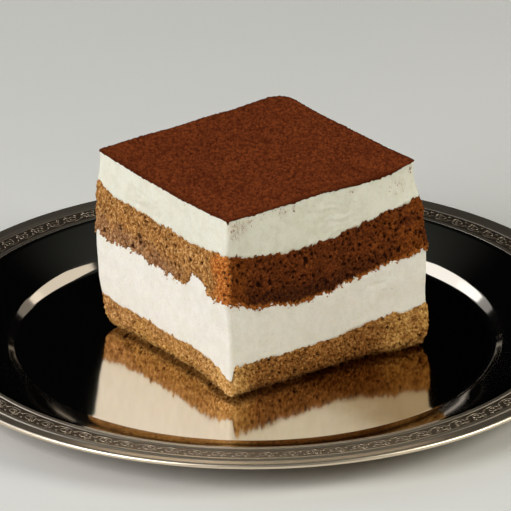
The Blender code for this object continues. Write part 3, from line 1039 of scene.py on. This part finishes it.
def creamFinish(name, tones):
    finish = Finish(
        name,
        Roughness=0.5,
        Specular_IOR_Level=0.35,
        Subsurface_Weight=0.25,
        Subsurface_Scale=0.0015,
    )
    finish.shader.inputs["Subsurface Radius"].default_value = (1.0, 0.75, 0.45)
    smeared, rise = finish.trait("mark"), finish.trait("rise")
    mottle = finish.cloud(3.6, 4.0, 0.6, None, 0.4)
    tone = finish.mix(finish.between(mottle, 0.35, 0.68), tones["cream"], tones["shade"])
    # coffee drawn into the cream beside the sponge
    lower = 1.0 - finish.between(rise, 0.02, tones["soakLow"])
    upper = finish.between(rise, 1.0 - tones["soakHigh"], 0.98)
    stain = (lower + upper) * finish.between(finish.cloud(1.9, 4.0, 0.7), 0.42, 0.66)
    tone = finish.mix(stain * 0.6, tone, tones["stain"])
    grain = finish.cloud(0.75, 4.0, 0.75)
    tone = finish.mix(finish.between(grain, 0.5, 0.68) * 0.35, tone, tones["grain"])
    speck = 1.0 - finish.between(finish.cells(1.9), 0.08, 0.16)
    tone = finish.mix(speck * finish.between(mottle, 0.45, 0.6) * 0.4, tone, tones["stain"])
    powdered = smeared * finish.between(finish.cloud(0.8, 4.0, 0.75, finish.place(1.0, 1.0, 0.6)), 0.4, 0.62)
    tone = finish.mix(powdered * 0.35, tone, tones["smudge"])
    finish.colour(tone)
    finish.bump(grain + finish.cloud(1.9, 4.0, 0.65, finish.place(1.0, 1.0, 0.5)), 0.22, 0.6)
    return finish.material


upperTones = {
    "cream": srgb(233, 231, 216),
    "shade": srgb(225, 222, 204),
    "grain": srgb(206, 202, 178),
    "stain": srgb(206, 176, 130),
    "smudge": srgb(172, 128, 98),
    "soakLow": 0.1,  # share of the layer's height that coffee has reached
    "soakHigh": 0.02,
}
lowerTones = {
    "cream": srgb(247, 243, 234),
    "shade": srgb(240, 236, 225),
    "grain": srgb(223, 213, 192),
    "stain": srgb(208, 170, 124),
    "smudge": srgb(172, 128, 98),
    "soakLow": 0.06,
    "soakHigh": 0.09,
}
upperCream = layerMesh("upperCream", layers["upperCream"], creamRelief, creamFinish("upperCream", upperTones))
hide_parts("cream_top")
lowerCream = layerMesh("lowerCream", layers["lowerCream"], creamRelief, creamFinish("lowerCream", lowerTones))
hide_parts("cream_bottom")

print("cocoa")

# Cocoa: sifted powder, with fine cracks and clumps, and a ragged foot over the cream
cocoa = {
    "cells": 232,
    "wave": (12.0, 0.4),
    "clump": (1.2, 0.5),
    "grain": (0.6, 0.26),
    "crack": (1.8, 0.26),
    "lowered": 0.14,
    "edgeDrop": 0.12,
    "edgeRound": 0.02,  # share of the way in
    "highest": 61.1,
    "cover": 0.4,
    "sideRows": 6,
    "foot": {  # how far the powder's foot stands over the cream's top edge, along each wall
        "front": (0.35, 0.1, -0.3, -0.2, -0.3, -0.2, 0.2),
        "right": (0.2, -0.4),
        "back": (-0.4, 0.1),
        "left": (0.1, -0.2, -0.1, 0.35),
    },
    "drips": (  # wall turn, drop and half width of powder dragged down or knocked off
        (0.0, 1.9, 0.45),
        (0.13, 0.5, 1.6),
        (0.345, 0.9, 0.5),
        (0.63, -0.9, 2.2),
        (0.8, 0.5, 0.8),
        (1.3, 0.7, 0.8),
        (2.4, 0.7, 0.9),
        (3.35, 0.35, 1.2),
        (3.7, -0.3, 1.5),
    ),
    "dark": srgb(82, 32, 13),
    "brown": srgb(128, 62, 28),
    "pale": srgb(170, 92, 50),
    # darker powder at the side: partly damper cocoa, partly painted shade
    "side": srgb(74, 30, 11),
}


def cocoaRelief(spot):
    # how far the powder lies below its smooth top, as a value under zero
    clumpLength, clumpDepth = cocoa["clump"]
    grainLength, grainDepth = cocoa["grain"]
    crackLength, crackDepth = cocoa["crack"]
    bent = spot + noise.noise_vector(spot / 1.1) * 0.5
    distances = noise.voronoi(bent / crackLength)[0]
    crack = max(0.0, 1.0 - (distances[1] - distances[0]) / 0.22)
    rise = clumpDepth * (noise.fractal(spot / clumpLength, 0.9, 2.0, 3) - 0.35)
    rise += grainDepth * noise.noise(spot / grainLength)
    return rise - crackDepth * crack * crack, crack


def cocoaFinish():
    finish = Finish("cocoaPowder", Roughness=0.96, Specular_IOR_Level=0.04)
    crack, side = finish.trait("mark"), finish.trait("side")
    clump = finish.cloud(1.4, 4.0, 0.7)
    grain = finish.cloud(0.34, 3.0, 0.7)
    sweep = finish.cloud(14.0, 3.0)
    tone = finish.mix(finish.between(clump, 0.36, 0.62), cocoa["dark"], cocoa["brown"])
    tone = finish.mix(finish.between(grain, 0.55, 0.75, 0.0, 0.55), tone, cocoa["pale"])
    tone = finish.mix(finish.between(sweep, 0.4, 0.7, 0.0, 0.25), tone, cocoa["dark"])
    # painted shade in the powder's cracks
    tone = finish.mix(finish.between(crack, 0.3, 1.0, 0.0, 0.4), tone, cocoa["dark"])
    # the side and rolled top edge of the powder are darker: partly damper cocoa, partly painted shade
    tone = finish.mix(side * 0.85, tone, cocoa["side"])
    finish.colour(tone)
    finish.bump(grain * 0.8 + clump, 0.22, 0.9)
    return finish.material


def powderFoot(turns):
    creamTop = seamHeight("creamTopTop", turns)
    foot = creamTop + seamFringe(turns, 5, 0.8, 0.5)
    for index, wall in enumerate(walls):
        here = np.floor(turns).astype(int) % 4 == index
        offsets = cocoa["foot"][wall]
        foot[here] += eased(offsets, (turns[here] % 1.0) * (len(offsets) - 1))
    for place, drop, halfWidth in cocoa["drips"]:
        away = ((turns - place + 2.0) % 4.0 - 2.0) * form["size"][0] / halfWidth
        foot -= drop * np.exp(-(away ** 2))
    return np.minimum(foot, creamTop + 0.12)


def makeCocoa(material):
    cells = cocoa["cells"]
    steps = np.linspace(-1.0, 1.0, cells + 1)
    across, along = np.meshgrid(steps, steps, indexing="xy")
    outness = np.maximum(np.abs(across), np.abs(along))
    reach = np.where(outness > 0.0, outness, 1.0)
    u, v = across / reach, along / reach
    turn = np.select(
        (v <= -0.999999, u >= 0.999999, v >= 0.999999),
        ((u + 1.0) / 2.0, 1.0 + (v + 1.0) / 2.0, 2.0 + (1.0 - u) / 2.0),
        3.0 + (1.0 - v) / 2.0,
    )
    turn = np.where((turn % 1.0 > 0.9999999) | (turn % 1.0 < 1e-7), np.round(turn), turn) % 4.0
    rimHeight = seamHeight("dustedTop", turn.ravel()).reshape(turn.shape)
    rim = wallPlan(turn, rimHeight)
    plan = centre + (rim - centre) * outness[..., None]
    inward = smooth((1.0 - outness) / 0.22)
    height = rimHeight + (seamInside("dustedTop", plan) - rimHeight) * inward
    fall = cocoa["edgeDrop"] * (1.0 - smooth((1.0 - outness) / cocoa["edgeRound"]))
    flat = np.concatenate((plan, height[..., None]), -1).reshape(-1, 3)
    relief = np.zeros(len(flat))
    crack = np.zeros(len(flat))
    for number, spot in enumerate(flat):
        spot = Vector((spot[0], spot[1], 0.0))
        fine, crack[number] = cocoaRelief(spot)
        relief[number] = cocoa["wave"][1] * noise.noise(spot / cocoa["wave"][0]) + fine
    relief = relief.reshape(height.shape) * (0.4 + 0.6 * smooth((1.0 - outness) / 0.05))
    height = np.minimum(height + relief - fall - cocoa["lowered"], cocoa["highest"])
    # near the rim the powder stays over the cream
    cover = seamHeight("creamTopTop", turn.ravel()).reshape(turn.shape) + cocoa["cover"]
    height = np.where(outness > 0.95, np.maximum(height, cover), height)
    top = np.concatenate((plan, height[..., None]), -1).reshape(-1, 3)
    count = cells + 1
    index = np.arange(count * count).reshape(count, count)
    faces = [tuple(quad) for quad in np.stack((
        index[:-1, :-1], index[:-1, 1:], index[1:, 1:], index[1:, :-1]), -1).reshape(-1, 4).tolist()]
    loop = np.concatenate((index[0, :-1], index[:-1, -1], index[-1, :0:-1], index[:0:-1, 0]))
    turns = turn.ravel()[loop]
    around = len(loop)
    foot = powderFoot(turns)
    rimTop = top[loop]
    rows = []
    for row in range(1, cocoa["sideRows"] + 1):
        share = row / cocoa["sideRows"]
        level = rimTop[:, 2] + (foot - rimTop[:, 2]) * share
        spots = wallPlan(turns, level)
        out = ringNormals(spots)
        sides = np.column_stack((spots, level))
        rough = np.array([noise.fractal(Vector(spot) / 0.9, 0.9, 2.0, 2) for spot in sides])
        # the powder clings to the cream under it, down to its ragged foot
        push = np.maximum(0.12 + 0.14 * rough, creamRelief(sides)[0] + 0.1)
        push -= 0.75 * smooth((share - 0.65) / 0.35)
        rows.append(np.column_stack((spots + out * push[:, None], level)))
    rows = np.vstack(rows)
    first = len(top)
    previous = loop
    for row in range(cocoa["sideRows"]):
        ring = first + row * around + np.arange(around)
        for step in range(around):
            after = (step + 1) % around
            faces.append((int(previous[step]), int(ring[step]), int(ring[after]), int(previous[after])))
        previous = ring
    lowest = rows[-around:]
    under = capRings(lowest[:, :2], lowest[:, 2], (0.94, 0.5), 0.0)
    faces += capFaces([int(number) for number in previous], first + len(rows), 2)
    vertices = np.vstack((top, rows, under))
    vertices[:, 2] += form["base"]
    # where the powder is drawn darker, on its side and its rolled top edge: partly damper cocoa, partly painted shade
    side = np.zeros(len(vertices))
    side[:first] = 0.7 * smooth((outness.ravel() - 0.955) / 0.045)
    side[first:first + len(rows)] = 1.0
    cracks = np.concatenate((crack, np.zeros(len(rows) + len(under))))
    return makePiece("cocoaDusting", vertices, faces, material, {"mark": cracks, "side": side})


powder = cocoaFinish()
cocoaTop = makeCocoa(powder)
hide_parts("cocoa_top")

print("crumbs and specks")

crumbs = {
    "seed": 7,
    "middle": {"count": 620, "size": (0.16, 0.42), "sink": 0.05},
    "bottom": {"count": 620, "size": (0.18, 0.52), "sink": 0.05},
    "strays": 460,  # along the lower seam of the soaked sponge
}


def lumpTemplate(rounds):
    bm = bmesh.new()
    bmesh.ops.create_icosphere(bm, subdivisions=rounds, radius=1.0)
    vertices = np.array([vertex.co[:] for vertex in bm.verts])
    faces = [tuple(vertex.index for vertex in face.verts) for face in bm.faces]
    bm.free()
    return vertices, faces


def lumps(name, spots, sizes, stretches, rises, material, rng):
    # many small rough lumps joined in one piece
    shape, pattern = lumpTemplate(1)
    vertices, faces, shades = [], [], []
    for spot, size, stretch, rise in zip(spots, sizes, stretches, rises):
        turn = Quaternion((rng.gauss(0, 1), rng.gauss(0, 1), rng.gauss(0, 1), rng.gauss(0, 1))).normalized()
        matrix = np.array(turn.to_matrix())
        rough = np.array([1.0 + 0.35 * rng.uniform(-1.0, 1.0) for _ in shape])
        body = (shape * rough[:, None]) @ matrix.T * size * np.array(stretch)
        first = len(vertices)
        vertices.extend((body + spot).tolist())
        faces.extend(tuple(first + number for number in face) for face in pattern)
        shades.extend([rise] * len(shape))
    return makePiece(name, vertices, faces, material, {"rise": shades})


def onWall(turns, heights, push):
    turns, heights = np.asarray(turns, float), np.asarray(heights, float)
    here = wallPlan(turns, heights)
    step = wallPlan((turns + 0.002) % 4.0, heights) - wallPlan((turns - 0.002) % 4.0, heights)
    out = np.stack((step[:, 1], -step[:, 0]), -1)
    out /= np.linalg.norm(out, axis=1, keepdims=True)
    plan = here + out * np.asarray(push)[:, None]
    return np.column_stack((plan, heights + form["base"]))


def makeCrumbs():
    rng = random.Random(crumbs["seed"])
    for name, seams, values, material, slot in (
        ("soakedCrumbs", ("creamBottomTop", "spongeMiddleTop"), crumbs["middle"], soaked, "soaked_sponge"),
        ("goldenCrumbs", (None, "spongeBottomTop"), crumbs["bottom"], golden, "golden_sponge"),
    ):
        turns = np.array([rng.uniform(0.0, 4.0) for _ in range(values["count"])])
        ups = np.array([rng.random() for _ in turns])
        low = seamHeight(seams[0], turns) if seams[0] else np.full(len(turns), 1.5)
        heights = low + (seamHeight(seams[1], turns) - low) * ups
        if name == "soakedCrumbs":
            more = np.array([rng.uniform(0.0, 4.0) for _ in range(crumbs["strays"])])
            drift = np.array([rng.gauss(-0.2, 0.5) for _ in more])
            turns = np.concatenate((turns, more))
            ups = np.concatenate((ups, np.full(len(more), 0.04)))
            heights = np.concatenate((heights, seamHeight("creamBottomTop", more) + drift))
        sizes = [values["size"][0] + (values["size"][1] - values["size"][0]) * rng.random() ** 2 for _ in turns]
        base = onWall(turns, heights, np.zeros(len(turns)))
        spots = base - np.array([0.0, 0.0, form["base"]])
        relief = np.clip((middleRelief if name == "soakedCrumbs" else bottomRelief)(spots)[0], -0.7, 0.4) - values["sink"]
        placed = onWall(turns, heights, relief)
        stretches = [(rng.uniform(0.7, 1.2), rng.uniform(0.7, 1.2), rng.uniform(0.7, 1.3)) for _ in turns]
        lumps(name, placed, sizes, stretches, ups, material, rng)


def makeSpecks():
    rng = random.Random(crumbs["seed"] + 1)
    turns, depths, sizes = [], [], []
    for turn, depth, turnSpread, depthSpread, count, largest in specks:
        for _ in range(count):
            turns.append((turn + rng.uniform(-1.0, 1.0) * turnSpread) % 4.0)
            depths.append(max(0.2, depth + rng.gauss(0.0, 0.5) * depthSpread))
            sizes.append(largest * (0.35 + 0.65 * rng.random() ** 2))
    turns, depths = np.array(turns), np.array(depths)
    heights = seamHeight("creamTopTop", turns) - depths
    spots = onWall(turns, heights, np.zeros(len(turns))) - np.array([0.0, 0.0, form["base"]])
    relief = creamRelief(spots)[0]
    placed = onWall(turns, heights, relief)
    stretches = [(0.7, 0.7, rng.uniform(0.9, 2.2)) for _ in turns]
    finish = Finish("cocoaSpecks", Roughness=0.95, Specular_IOR_Level=0.05)
    finish.colour(finish.mix(finish.between(finish.cloud(0.9), 0.4, 0.6), srgb(112, 58, 32), srgb(156, 94, 60)))
    lumps("cocoaSpecks", placed, sizes, stretches, np.zeros(len(turns)), finish.material, rng)


makeCrumbs()
makeSpecks()
